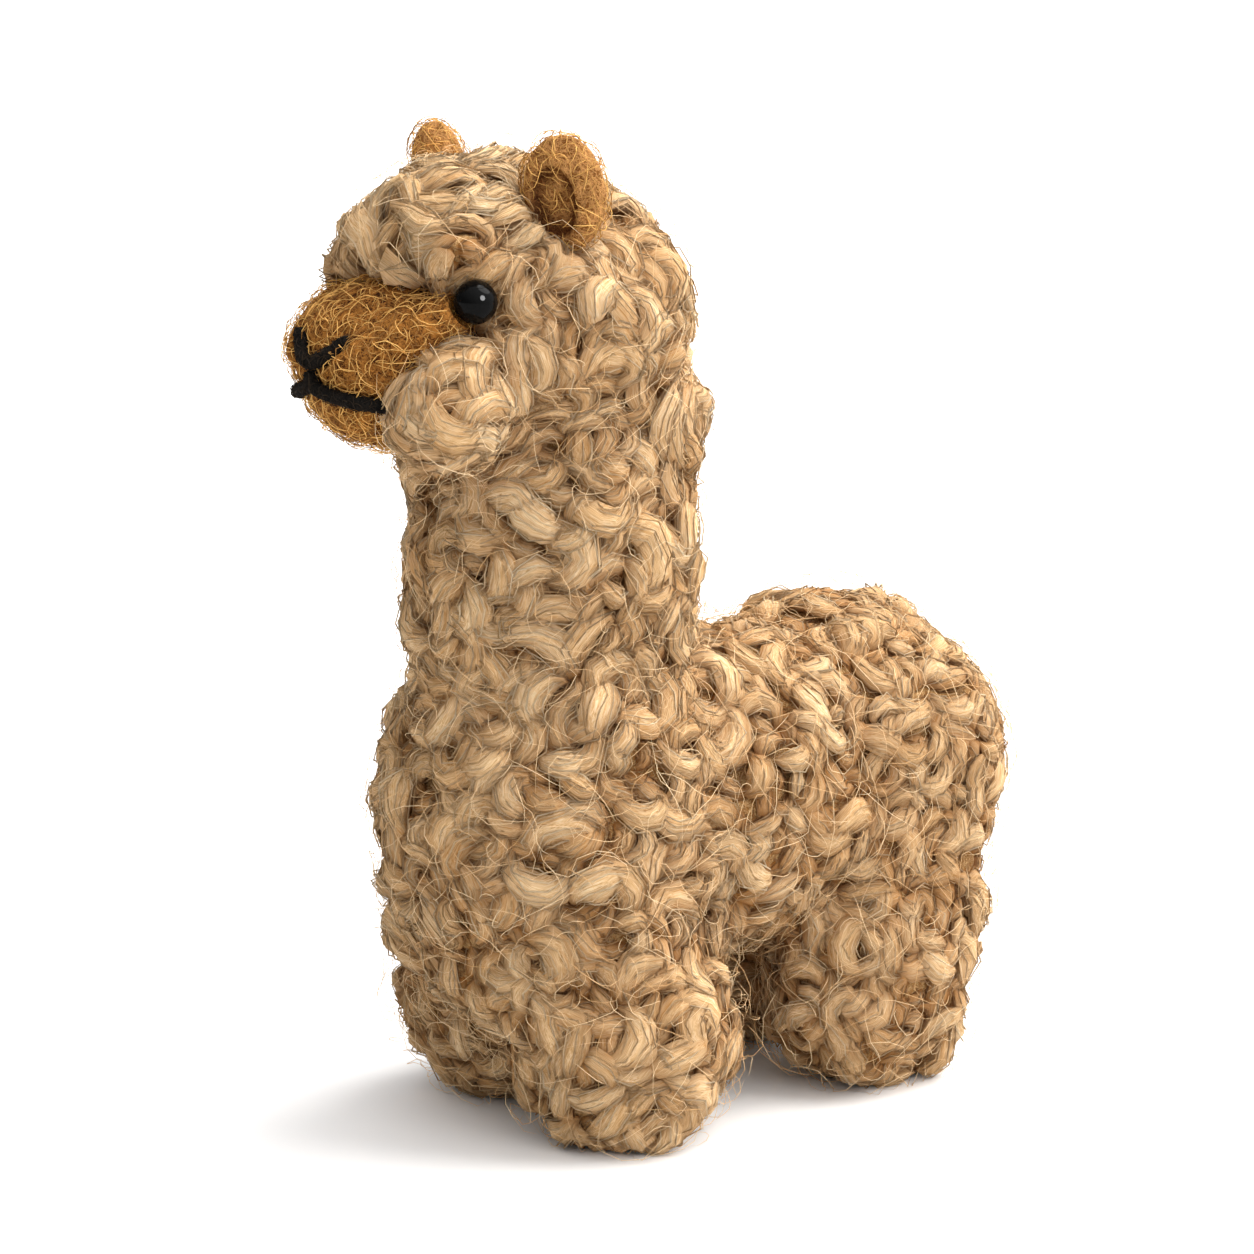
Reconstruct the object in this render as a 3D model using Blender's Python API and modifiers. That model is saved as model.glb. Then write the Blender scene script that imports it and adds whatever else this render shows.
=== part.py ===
"""Felted alpaca toy, standing on four stubby legs.

The toy is needle-felted from wool. One wool body carries the whole coat of curled locks: rump,
barrel, chest, neck, head, cheeks, topknot and legs are felted into each other and don't come
apart. Seated in that coat are a snout of brown felt with a patch that runs back to each eye, two
cupped brown felt ears, two black bead eyes on moulded posts, and two strands of black wool laid
in grooves on the snout for the nose and the mouth.

Metres, +Z up. The toy faces -Y and its left side is +X. The origin is at the middle of its
outline, on the surface that it stands on.
"""

import math
import random

import bmesh
import bpy
from mathutils import Euler, Matrix, Vector
from mathutils.bvhtree import BVHTree

MM = 0.001

# Legs. Lengths run along Y and widths along X, over the coat.
LEG_SPREAD = 23.0 * MM
LEG_SPACING = 38.0 * MM
FRONT_FOOT_WIDTH = 31.0 * MM
FRONT_FOOT_LENGTH = 31.0 * MM
HIND_FOOT_WIDTH = 27.0 * MM
HIND_FOOT_LENGTH = 30.0 * MM
FOOT_HEIGHT = 29.0 * MM
FOOT_ROUNDING_DEPTH = 4.2 * MM
THIGH_WIDTH = 30.0 * MM
THIGH_LENGTH = 32.0 * MM
THIGH_HEIGHT = 33.0 * MM
THIGH_RISE = 9.0 * MM
THIGH_INSET = 2.0 * MM
THIGH_SETBACK = 2.5 * MM

# Trunk, over the coat.
BELLY_CLEARANCE = 16.0 * MM
BARREL_WIDTH = 46.0 * MM
BARREL_LENGTH = 64.0 * MM
BARREL_HEIGHT = 44.0 * MM
RUMP_WIDTH = 47.0 * MM
RUMP_LENGTH = 49.0 * MM
RUMP_HEIGHT = 46.0 * MM
RUMP_SETBACK = 3.0 * MM
CHEST_WIDTH = 45.0 * MM
CHEST_LENGTH = 44.0 * MM
CHEST_HEIGHT = 60.0 * MM
CHEST_CLEARANCE = 6.0 * MM
CHEST_ADVANCE = 2.5 * MM

# Neck and head, over the coat.
HEAD_RISE = 61.5 * MM
HEAD_ADVANCE = 4.0 * MM
NECK_WIDTH = 36.5 * MM
NECK_LENGTH = 37.0 * MM
NAPE_WIDTH = 36.0 * MM
NAPE_LENGTH = 39.0 * MM
NAPE_HEIGHT = 30.0 * MM
NAPE_SETBACK = 5.5 * MM
NAPE_DROP = 13.5 * MM
NECK_ROOT_DEPTH = 2.0 * MM
NECK_TOP_INSET = 8.5 * MM
HEAD_WIDTH = 40.0 * MM
HEAD_LENGTH = 43.0 * MM
HEAD_HEIGHT = 39.4 * MM
TOPKNOT_WIDTH = 28.0 * MM
TOPKNOT_LENGTH = 26.0 * MM
TOPKNOT_HEIGHT = 21.0 * MM
TOPKNOT_ADVANCE = 10.0 * MM
TOPKNOT_RISE = 9.8 * MM
CHEEK_SIZE = 15.8 * MM
CHEEK_SPREAD = 22.0 * MM
CHEEK_ADVANCE = 15.5 * MM
CHEEK_DROP = 6.2 * MM

# Coat of curled locks. A lock is an arc that winds in and tapers towards both ends.
LOCK_THICKNESS = 4.6 * MM
LOCK_CURL_RADIUS = 3.7 * MM
LOCK_SPACING = 8.8 * MM
LOCK_LIFT = 0.3 * MM
LOCK_POINTS = 14
LOCK_SWEEP_LEAST = math.radians(260.0)
LOCK_SWEEP_MOST = math.radians(340.0)
LOCK_SIZE_SPREAD = 0.2
LOCK_WIND_IN = 0.3
LOCK_END_SHARE = 0.45
LOCK_FULLEST_AT = 0.38
LOCK_SEED = 41
CORE_VOXEL = 1.5 * MM
COAT_VOXEL = 0.7 * MM
COAT_TRIANGLES = 7900

# Snout of brown felt.
SNOUT_WIDTH = 24.0 * MM
SNOUT_LENGTH = 23.0 * MM
SNOUT_HEIGHT = 20.2 * MM
SNOUT_ADVANCE = 17.6 * MM
SNOUT_DROP = 3.6 * MM
EYE_PATCH_WIDTH = 7.0 * MM
EYE_PATCH_HEIGHT = 6.4 * MM
EYE_PATCH_TAIL = 1.5 * MM
EYE_PATCH_ROOT_AZIMUTH = math.radians(62.0)
EYE_PATCH_ROOT_ELEVATION = math.radians(28.0)
SNOUT_VOXEL = 0.7 * MM
SNOUT_TRIANGLES = 520

# Bead eyes, each with its moulded post.
EYE_DIAMETER = 5.0 * MM
EYE_POST_DIAMETER = 1.5 * MM
EYE_POST_LENGTH = 4.0 * MM
EYE_AZIMUTH = math.radians(42.5)
EYE_ELEVATION = math.radians(13.0)

# Ears of brown felt.
EAR_WIDTH = 10.8 * MM
EAR_LENGTH = 7.0 * MM
EAR_HEIGHT = 13.8 * MM
EAR_SPREAD = 25.0 * MM
EAR_ADVANCE = 2.6 * MM
EAR_SEAT_DEPTH = 6.3 * MM
EAR_FELT_THICKNESS = 2.0 * MM
EAR_TURN = math.radians(22.0)
EAR_LEAN = math.radians(6.0)

# Black wool strands of the nose and mouth, as angles seen from the middle of the snout.
STRAND_DIAMETER = 1.5 * MM
NOSE_AZIMUTH = math.radians(27.0)
NOSE_TOP = math.radians(22.0)
NOSE_BOTTOM = math.radians(5.0)
MOUTH_AZIMUTH = math.radians(52.0)
MOUTH_TOP = math.radians(-10.0)
MOUTH_CORNER = math.radians(-21.0)

# Space left between pieces that are seated in each other.
SEAT_CLEARANCE = 0.3 * MM

# Points closer than this are one point.
WELD_DISTANCE = 0.001 * MM


class Lump:
    """An ellipsoid of wool, given by its middle and its overall width, length and height."""

    def __init__(self, x, y, z, width, length, height):
        self.centre = Vector((x, y, z))
        self.radii = Vector((width, length, height)) / 2

    def inset(self, depth):
        """The same lump with its surface moved in by a depth."""
        return Lump(*self.centre, *(2 * (self.radii - Vector((depth, depth, depth)))))

    def contains(self, point):
        offset = point - self.centre
        return sum((offset[i] / self.radii[i]) ** 2 for i in range(3)) < 1

    def surface_point(self, azimuth, elevation):
        """The surface point at an azimuth from straight ahead (-Y) towards +X."""
        flat = math.cos(elevation)
        ahead = -flat * math.cos(azimuth)
        direction = Vector((flat * math.sin(azimuth), ahead, math.sin(elevation)))
        return self.centre + self.radii * direction

    def top_at(self, x, y):
        """The height of the upper surface above a place on the floor."""
        across = (x - self.centre.x) / self.radii.x
        along = (y - self.centre.y) / self.radii.y
        return self.centre.z + self.radii.z * math.sqrt(max(0.0, 1 - across**2 - along**2))


def clear_scene():
    for old in list(bpy.data.objects):
        bpy.data.objects.remove(old, do_unlink=True)
    for old in list(bpy.data.collections):
        bpy.data.collections.remove(old)


def make_collection(name):
    collection = bpy.data.collections.new(name)
    bpy.context.scene.collection.children.link(collection)
    return collection


def make_material(name, colour, roughness):
    material = bpy.data.materials.new(name)
    material.use_nodes = True
    shader = material.node_tree.nodes["Principled BSDF"]
    shader.inputs["Base Color"].default_value = (*colour, 1.0)
    shader.inputs["Roughness"].default_value = roughness
    shader.inputs["Metallic"].default_value = 0.0
    material.diffuse_color = (*colour, 1.0)
    return material


def object_from_bmesh(name, bm, collection):
    mesh = bpy.data.meshes.new(name)
    bm.to_mesh(mesh)
    bm.free()
    obj = bpy.data.objects.new(name, mesh)
    collection.objects.link(obj)
    return obj


def apply_modifiers(obj):
    """Replace the object's mesh by what its modifiers make of it."""
    depsgraph = bpy.context.evaluated_depsgraph_get()
    mesh = bpy.data.meshes.new_from_object(obj.evaluated_get(depsgraph))
    old_mesh = obj.data
    obj.modifiers.clear()
    obj.data = mesh
    bpy.data.meshes.remove(old_mesh)


def mesh_from_curve(curve_object, collection):
    """A mesh object with welded caps in place of a bevelled curve."""
    depsgraph = bpy.context.evaluated_depsgraph_get()
    mesh = bpy.data.meshes.new_from_object(curve_object.evaluated_get(depsgraph))
    bm = bmesh.new()
    bm.from_mesh(mesh)
    bmesh.ops.remove_doubles(bm, verts=bm.verts, dist=WELD_DISTANCE)
    bmesh.ops.recalc_face_normals(bm, faces=bm.faces)
    obj = object_from_bmesh(curve_object.name + "_mesh", bm, collection)
    bpy.data.meshes.remove(mesh)
    bpy.data.objects.remove(curve_object, do_unlink=True)
    return obj


def add_lump(bm, lump, turn=None, segments=32):
    """Add a lump to a bmesh as a stretched sphere, turned about its own middle."""
    matrix = Matrix.Translation(lump.centre)
    if turn is not None:
        matrix = matrix @ turn.to_matrix().to_4x4()
    matrix = matrix @ Matrix.Diagonal((*lump.radii, 1.0))
    bmesh.ops.create_uvsphere(bm, u_segments=segments, v_segments=segments // 2, radius=1.0,
                              matrix=matrix)


def join_bmesh(bm, obj):
    bm.from_mesh(obj.data)
    bpy.data.objects.remove(obj, do_unlink=True)


def remesh(obj, voxel_size):
    """Fuse everything in the mesh into one skin."""
    modifier = obj.modifiers.new("fuse", 'REMESH')
    modifier.mode = 'VOXEL'
    modifier.voxel_size = voxel_size
    apply_modifiers(obj)


def smooth(obj, factor, iterations):
    modifier = obj.modifiers.new("soften", 'SMOOTH')
    modifier.factor = factor
    modifier.iterations = iterations
    apply_modifiers(obj)


def decimate(obj, triangles):
    """Thin the mesh to about a number of triangles, keeping its ridges and valleys."""
    now = sum(len(polygon.vertices) - 2 for polygon in obj.data.polygons)
    if now <= triangles:
        return
    modifier = obj.modifiers.new("thin", 'DECIMATE')
    modifier.ratio = triangles / now
    modifier.use_collapse_triangulate = True
    apply_modifiers(obj)


def keep_largest_piece(obj):
    """Delete every separate shell of the mesh but the one with the most faces."""
    bm = bmesh.new()
    bm.from_mesh(obj.data)
    unseen = set(bm.faces)
    shells = []
    while unseen:
        shell = [unseen.pop()]
        for face in shell:
            for edge in face.edges:
                for neighbour in edge.link_faces:
                    if neighbour in unseen:
                        unseen.remove(neighbour)
                        shell.append(neighbour)
        shells.append(shell)
    shells.sort(key=len, reverse=True)
    loose = [face for shell in shells[1:] for face in shell]
    bmesh.ops.delete(bm, geom=loose, context='FACES')
    bm.to_mesh(obj.data)
    bm.free()


def swollen_copy(obj, clearance, collection):
    """A cutter in the form of a piece, grown by the clearance that its seat needs."""
    copy = bpy.data.objects.new(obj.name + "_cutter", obj.data.copy())
    collection.objects.link(copy)
    copy.matrix_world = obj.matrix_world
    modifier = copy.modifiers.new("swell", 'DISPLACE')
    modifier.direction = 'NORMAL'
    modifier.mid_level = 0.0
    modifier.strength = clearance
    apply_modifiers(copy)
    hide_cutter(copy)
    return copy


def hide_cutter(cutter):
    cutter.hide_render = True
    cutter.display_type = 'WIRE'


def combine(obj, other, operation, other_folds=False):
    """Boolean of two pieces; a grown copy may fold over itself in its creases, and then says so."""
    modifier = obj.modifiers.new(other.name, 'BOOLEAN')
    modifier.operation = operation
    modifier.solver = 'EXACT'
    modifier.use_self = other_folds
    modifier.object = other
    apply_modifiers(obj)


def strand_object(name, paths, diameter, collection):
    """A round wool strand along smooth paths, each a list of points."""
    curve = bpy.data.curves.new(name, 'CURVE')
    curve.dimensions = '3D'
    curve.bevel_depth = diameter / 2
    curve.bevel_resolution = 2
    curve.use_fill_caps = True
    for path in paths:
        spline = curve.splines.new('POLY')
        spline.points.add(len(path) - 1)
        for point, place in zip(spline.points, path):
            point.co = (*place, 1.0)
    obj = bpy.data.objects.new(name, curve)
    collection.objects.link(obj)
    return mesh_from_curve(obj, collection)


def body_lumps():
    """The wool lumps of the body over the coat, by name."""
    front_leg_y = -LEG_SPACING / 2
    hind_leg_y = LEG_SPACING / 2
    barrel_z = BELLY_CLEARANCE + BARREL_HEIGHT / 2
    chest_y = front_leg_y - CHEST_ADVANCE
    chest_z = CHEST_CLEARANCE + CHEST_HEIGHT / 2
    head_y = chest_y - HEAD_ADVANCE
    head_z = chest_z + HEAD_RISE
    neck_bottom = chest_z - NECK_ROOT_DEPTH
    neck_top = head_z + NECK_TOP_INSET
    foot_z = (FOOT_HEIGHT - FOOT_ROUNDING_DEPTH) / 2
    foot_depth = FOOT_HEIGHT + FOOT_ROUNDING_DEPTH
    lumps = {
        "barrel": Lump(0, 0, barrel_z, BARREL_WIDTH, BARREL_LENGTH, BARREL_HEIGHT),
        "rump": Lump(0, hind_leg_y + RUMP_SETBACK, barrel_z, RUMP_WIDTH, RUMP_LENGTH, RUMP_HEIGHT),
        "chest": Lump(0, chest_y, chest_z, CHEST_WIDTH, CHEST_LENGTH, CHEST_HEIGHT),
        "neck": Lump(0, chest_y, (neck_bottom + neck_top) / 2, NECK_WIDTH, NECK_LENGTH,
                     neck_top - neck_bottom),
        "nape": Lump(0, head_y + NAPE_SETBACK, head_z - NAPE_DROP, NAPE_WIDTH, NAPE_LENGTH,
                     NAPE_HEIGHT),
        "head": Lump(0, head_y, head_z, HEAD_WIDTH, HEAD_LENGTH, HEAD_HEIGHT),
        "topknot": Lump(0, head_y - TOPKNOT_ADVANCE, head_z + TOPKNOT_RISE, TOPKNOT_WIDTH,
                        TOPKNOT_LENGTH, TOPKNOT_HEIGHT),
    }
    for side, sign in (("left", 1), ("right", -1)):
        leg_x = sign * LEG_SPREAD / 2
        lumps["front_foot_" + side] = Lump(leg_x, front_leg_y, foot_z, FRONT_FOOT_WIDTH,
                                           FRONT_FOOT_LENGTH, foot_depth)
        lumps["hind_foot_" + side] = Lump(leg_x, hind_leg_y, foot_z, HIND_FOOT_WIDTH,
                                          HIND_FOOT_LENGTH, foot_depth)
        thigh_x = sign * (LEG_SPREAD / 2 - THIGH_INSET)
        lumps["thigh_" + side] = Lump(thigh_x, hind_leg_y + THIGH_SETBACK, foot_z + THIGH_RISE,
                                      THIGH_WIDTH, THIGH_LENGTH, THIGH_HEIGHT)
        lumps["shoulder_" + side] = Lump(thigh_x, front_leg_y - THIGH_SETBACK,
                                         foot_z + THIGH_RISE, THIGH_WIDTH, THIGH_LENGTH,
                                         THIGH_HEIGHT)
        lumps["cheek_" + side] = Lump(sign * CHEEK_SPREAD / 2, head_y - CHEEK_ADVANCE,
                                      head_z - CHEEK_DROP, CHEEK_SIZE, CHEEK_SIZE, CHEEK_SIZE)
    return lumps


def snout_lump(head):
    return Lump(0, head.centre.y - SNOUT_ADVANCE, head.centre.z - SNOUT_DROP, SNOUT_WIDTH,
                SNOUT_LENGTH, SNOUT_HEIGHT)


def eye_place(head, sign):
    """The middle of an eye, on the surface of the head, and the direction that it looks in."""
    centre = head.surface_point(sign * EYE_AZIMUTH, EYE_ELEVATION)
    offset = centre - head.centre
    outward = Vector([offset[i] / head.radii[i] ** 2 for i in range(3)]).normalized()
    return centre, outward


def patch_lump(head, snout, sign):
    """The felt that runs back from the snout to an eye, as a lump and its turn."""
    eye, outward = eye_place(head, sign)
    root = snout.surface_point(sign * EYE_PATCH_ROOT_AZIMUTH, EYE_PATCH_ROOT_ELEVATION)
    reach = eye - root
    length = 2 * (reach.length + EYE_PATCH_TAIL)
    middle = root - outward * EYE_PATCH_WIDTH / 4
    lump = Lump(*middle, EYE_PATCH_WIDTH, length, EYE_PATCH_HEIGHT)
    heading = Vector((0, -1, 0)).rotation_difference(-reach).to_euler()
    return lump, heading


def ear_place(head, sign):
    x = sign * EAR_SPREAD / 2
    y = head.centre.y - EAR_ADVANCE
    z = head.top_at(x, y) + EAR_HEIGHT / 2 - EAR_SEAT_DEPTH
    return Vector((x, y, z))


def build_core(lumps, collection):
    """The wool core, under the coat."""
    bm = bmesh.new()
    for lump in lumps.values():
        add_lump(bm, lump.inset(LOCK_THICKNESS / 2))
    core = object_from_bmesh("core", bm, collection)
    remesh(core, CORE_VOXEL)
    return core


def lock_roots(core, bare_lumps, bare_points):
    """Scattered places on the core, each with its outward direction, a spacing apart."""
    order = list(range(len(core.data.vertices)))
    random.Random(LOCK_SEED).shuffle(order)
    roots = []
    for index in order:
        vertex = core.data.vertices[index]
        place = vertex.co.copy()
        if place.z < LOCK_THICKNESS / 2:
            continue
        if any(lump.contains(place) for lump in bare_lumps):
            continue
        if any((place - point).length < radius for point, radius in bare_points):
            continue
        if any((place - other).length < LOCK_SPACING for other, _ in roots):
            continue
        roots.append((place, vertex.normal.copy()))
    return roots


def build_locks(core, roots, collection):
    """Curled locks that lie on the core, each a tapered spiral arc."""
    chance = random.Random(LOCK_SEED + 1)
    skin = BVHTree.FromObject(core, bpy.context.evaluated_depsgraph_get())
    curve = bpy.data.curves.new("locks", 'CURVE')
    curve.dimensions = '3D'
    curve.bevel_depth = LOCK_THICKNESS / 2
    curve.bevel_resolution = 1
    curve.use_fill_caps = True
    steps = round(LOCK_POINTS) - 1
    for root, normal in roots:
        across = normal.orthogonal().normalized()
        along = normal.cross(across)
        start = chance.uniform(0, 2 * math.pi)
        sweep = chance.uniform(LOCK_SWEEP_LEAST, LOCK_SWEEP_MOST) * chance.choice((-1, 1))
        size = chance.uniform(1 - LOCK_SIZE_SPREAD, 1 + LOCK_SIZE_SPREAD)
        spline = curve.splines.new('POLY')
        spline.points.add(steps)
        for step, point in enumerate(spline.points):
            share = step / steps
            angle = start + sweep * share
            radius = LOCK_CURL_RADIUS * size * (1 + LOCK_WIND_IN * (1 / 3 - share))
            flat = root + radius * (math.cos(angle) * across + math.sin(angle) * along)
            place, facing, _, _ = skin.find_nearest(flat)
            point.co = (*(place + facing * LOCK_LIFT), 1.0)
            end_to_full = share / LOCK_FULLEST_AT if share < LOCK_FULLEST_AT else (
                (1 - share) / (1 - LOCK_FULLEST_AT))
            fullness = math.sin(math.pi / 2 * end_to_full)
            point.radius = LOCK_END_SHARE + (1 - LOCK_END_SHARE) * fullness
    locks = bpy.data.objects.new("locks", curve)
    collection.objects.link(locks)
    return mesh_from_curve(locks, collection)


def build_fleece_body(lumps, bare_lumps, bare_points, parts, cutters):
    """The wool body with its coat, fused and flat under the feet."""
    core = build_core(lumps, cutters)
    roots = lock_roots(core, bare_lumps, bare_points)
    locks = build_locks(core, roots, cutters)
    bm = bmesh.new()
    join_bmesh(bm, core)
    join_bmesh(bm, locks)
    body = object_from_bmesh("fleece_body", bm, parts)
    remesh(body, COAT_VOXEL)
    keep_largest_piece(body)
    smooth(body, 0.5, 2)
    decimate(body, COAT_TRIANGLES)
    floor_depth = FOOT_HEIGHT
    floor_size = 2 * (LEG_SPACING + BARREL_LENGTH + CHEST_LENGTH)
    bm = bmesh.new()
    bmesh.ops.create_cube(bm, size=1.0, matrix=Matrix.Translation((0, 0, -floor_depth / 2))
                          @ Matrix.Diagonal((floor_size, floor_size, floor_depth, 1.0)))
    floor = object_from_bmesh("floor_cutter", bm, cutters)
    hide_cutter(floor)
    combine(body, floor, 'DIFFERENCE')
    return body


def build_snout(snout, patches, parts):
    """The brown felt snout with its patches, still without grooves."""
    bm = bmesh.new()
    add_lump(bm, snout)
    for lump, heading in patches:
        add_lump(bm, lump, heading)
    muzzle = object_from_bmesh("muzzle", bm, parts)
    remesh(muzzle, SNOUT_VOXEL)
    smooth(muzzle, 0.5, 3)
    decimate(muzzle, SNOUT_TRIANGLES)
    return muzzle


def build_eye(name, centre, outward, extra, collection):
    """A bead with its post; extra grows both, for the seat that they leave."""
    turn = Vector((0, 0, 1)).rotation_difference(outward).to_matrix().to_4x4()
    bm = bmesh.new()
    bmesh.ops.create_uvsphere(bm, u_segments=14, v_segments=9, radius=EYE_DIAMETER / 2 + extra)
    bead = object_from_bmesh(name, bm, collection)
    bm = bmesh.new()
    post_length = EYE_DIAMETER / 2 + EYE_POST_LENGTH + extra
    bmesh.ops.create_cone(bm, cap_ends=True, segments=8, radius1=EYE_POST_DIAMETER / 2 + extra,
                          radius2=EYE_POST_DIAMETER / 2 + extra, depth=post_length,
                          matrix=Matrix.Translation((0, 0, -post_length / 2)))
    post = object_from_bmesh(name + "_post", bm, collection)
    combine(bead, post, 'UNION')
    bpy.data.objects.remove(post, do_unlink=True)
    bead.data.transform(Matrix.Translation(centre) @ turn)
    return bead


def build_ear(name, centre, sign, parts, cutters):
    """A cupped ear: a felt lobe with its hollow turned forward and out."""
    turn = Euler((EAR_LEAN, 0, sign * EAR_TURN))
    bm = bmesh.new()
    add_lump(bm, Lump(0, 0, 0, EAR_WIDTH, EAR_LENGTH, EAR_HEIGHT), segments=16)
    ear = object_from_bmesh(name, bm, parts)
    whole = Matrix.Translation(centre) @ turn.to_matrix().to_4x4()
    ear.data.transform(whole)
    seat = swollen_copy(ear, SEAT_CLEARANCE, cutters)
    bm = bmesh.new()
    hollow = Lump(0, -EAR_LENGTH / 2, -EAR_FELT_THICKNESS / 2, EAR_WIDTH - 2 * EAR_FELT_THICKNESS,
                  EAR_LENGTH - EAR_FELT_THICKNESS, EAR_HEIGHT - 2 * EAR_FELT_THICKNESS)
    add_lump(bm, hollow, segments=12)
    cutter = object_from_bmesh(name + "_hollow_cutter", bm, cutters)
    cutter.data.transform(whole)
    hide_cutter(cutter)
    combine(ear, cutter, 'DIFFERENCE')
    return ear, seat


def smooth_path(corners, steps):
    """Points along a smooth curve through a few points."""
    points = [2 * corners[0] - corners[1], *corners, 2 * corners[-1] - corners[-2]]
    path = []
    for index in range(1, len(points) - 2):
        before, first, second, after = points[index - 1:index + 3]
        for step in range(steps):
            t = step / steps
            path.append(0.5 * (2 * first + (second - before) * t
                               + (2 * before - 5 * first + 4 * second - after) * t**2
                               + (3 * first - before - 3 * second + after) * t**3))
    path.append(corners[-1].copy())
    return path


def nose_path(snout):
    """The V of the nose, from one upper end down to the tip of the snout and up again."""
    rise = NOSE_TOP - NOSE_BOTTOM
    half = [(0.0, 0.0), (0.3, 0.16), (1.0, 1.0)]
    places = [(share * NOSE_AZIMUTH, NOSE_BOTTOM + climb * rise) for share, climb in half]
    right = [snout.surface_point(-azimuth, height) for azimuth, height in places[:0:-1]]
    left = [snout.surface_point(azimuth, height) for azimuth, height in places]
    return smooth_path(right + left, 2)


def mouth_paths(snout, clearance):
    """The arch of the mouth and the stem that rises from it to just below the nose."""
    drop = MOUTH_CORNER - MOUTH_TOP
    half = [(0.0, 0.0), (0.25, 0.4), (0.6, 0.75), (1.0, 1.0)]
    places = [(share * MOUTH_AZIMUTH, MOUTH_TOP + fall * drop) for share, fall in half]
    right = [snout.surface_point(-azimuth, height) for azimuth, height in places[:0:-1]]
    left = [snout.surface_point(azimuth, height) for azimuth, height in places]
    nose_bottom = snout.surface_point(0, NOSE_BOTTOM)
    arch_top = snout.surface_point(0, MOUTH_TOP)
    stem_top = nose_bottom - Vector((0, 0, STRAND_DIAMETER / 2 + clearance))
    return smooth_path(right + left, 2), [arch_top, stem_top]


def build_strand_pair(snout, extra, collection, suffix=""):
    """The nose strand and the mouth strand; extra grows them for their grooves."""
    diameter = STRAND_DIAMETER + 2 * extra
    nose = strand_object("nose_strand" + suffix, [nose_path(snout)], diameter, collection)
    arch_path, stem_path = mouth_paths(snout, SEAT_CLEARANCE - extra)
    mouth = strand_object("mouth_strand" + suffix, [arch_path], diameter, collection)
    stem = strand_object("mouth_stem" + suffix, [stem_path], diameter, collection)
    combine(mouth, stem, 'UNION')
    bpy.data.objects.remove(stem, do_unlink=True)
    return nose, mouth


def finish_piece(obj, name, material):
    obj.name = name
    obj.data.name = name
    obj.data.materials.clear()
    obj.data.materials.append(material)
    obj.data.shade_smooth()


def centre_on_origin(pieces):
    """Move all the pieces together, so that the toy's outline is centred on the origin."""
    corners = [vertex.co for piece in pieces for vertex in piece.data.vertices]
    middle_x = (min(c.x for c in corners) + max(c.x for c in corners)) / 2
    middle_y = (min(c.y for c in corners) + max(c.y for c in corners)) / 2
    for piece in pieces:
        piece.data.transform(Matrix.Translation((-middle_x, -middle_y, 0)))


def build_alpaca():
    clear_scene()
    parts = make_collection("alpaca_toy")
    cutters = make_collection("cutters")
    cream_wool = make_material("cream_wool", (0.55, 0.37, 0.21), 0.95)
    brown_felt = make_material("brown_felt", (0.36, 0.15, 0.035), 0.95)
    black_bead = make_material("black_bead", (0.004, 0.004, 0.004), 0.08)
    black_wool = make_material("black_wool", (0.01, 0.009, 0.008), 0.9)

    lumps = body_lumps()
    head = lumps["head"]
    snout = snout_lump(head)
    sides = (("left", 1), ("right", -1))
    patches = [patch_lump(head, snout, sign) for _, sign in sides]
    eye_places = [eye_place(head, sign) for _, sign in sides]
    bare_lumps = [snout.inset(LOCK_THICKNESS / 4)]
    bare_points = [(centre, EYE_DIAMETER / 2 + LOCK_THICKNESS / 2) for centre, _ in eye_places]

    body = build_fleece_body(lumps, bare_lumps, bare_points, parts, cutters)
    muzzle = build_snout(snout, patches, parts)
    combine(body, swollen_copy(muzzle, SEAT_CLEARANCE, cutters), 'DIFFERENCE',
            other_folds=True)

    pieces = [(body, "fleece_body", cream_wool), (muzzle, "muzzle", brown_felt)]
    for (side, sign), (centre, outward) in zip(sides, eye_places):
        eye = build_eye("eye_" + side, centre, outward, 0.0, parts)
        socket = build_eye("eye_cutter_" + side, centre, outward, SEAT_CLEARANCE, cutters)
        hide_cutter(socket)
        combine(body, socket, 'DIFFERENCE')
        combine(muzzle, socket, 'DIFFERENCE')
        pieces.append((eye, "eye_" + side, black_bead))
        ear, seat = build_ear("ear_" + side, ear_place(head, sign), sign, parts, cutters)
        combine(body, seat, 'DIFFERENCE')
        pieces.append((ear, "ear_" + side, brown_felt))

    nose, mouth = build_strand_pair(snout, 0.0, parts)
    for groove in build_strand_pair(snout, SEAT_CLEARANCE, cutters, "_cutter"):
        hide_cutter(groove)
        combine(muzzle, groove, 'DIFFERENCE')
        combine(body, groove, 'DIFFERENCE')
    pieces.append((nose, "nose_strand", black_wool))
    pieces.append((mouth, "mouth_strand", black_wool))

    keep_largest_piece(body)
    keep_largest_piece(muzzle)
    for obj, name, material in pieces:
        finish_piece(obj, name, material)
    centre_on_origin([obj for obj, _, _ in pieces])


build_alpaca()
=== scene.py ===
"""Looks of the felted alpaca toy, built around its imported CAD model.

Metres, in the CAD model's frame: +Z up, the toy faces -Y and its left side is +X.
"""

import math

import bmesh
import bpy
import numpy as np
from mathutils import Matrix, Vector


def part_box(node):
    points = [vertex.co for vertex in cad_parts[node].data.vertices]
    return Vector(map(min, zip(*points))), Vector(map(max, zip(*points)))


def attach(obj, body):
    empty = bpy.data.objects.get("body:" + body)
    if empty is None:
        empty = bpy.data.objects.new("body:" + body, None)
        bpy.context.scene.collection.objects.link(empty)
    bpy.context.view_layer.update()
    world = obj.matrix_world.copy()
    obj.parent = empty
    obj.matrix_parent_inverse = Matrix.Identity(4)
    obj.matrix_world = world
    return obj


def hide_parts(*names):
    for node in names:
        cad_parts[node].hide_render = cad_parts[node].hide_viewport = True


MM = 0.001

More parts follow.
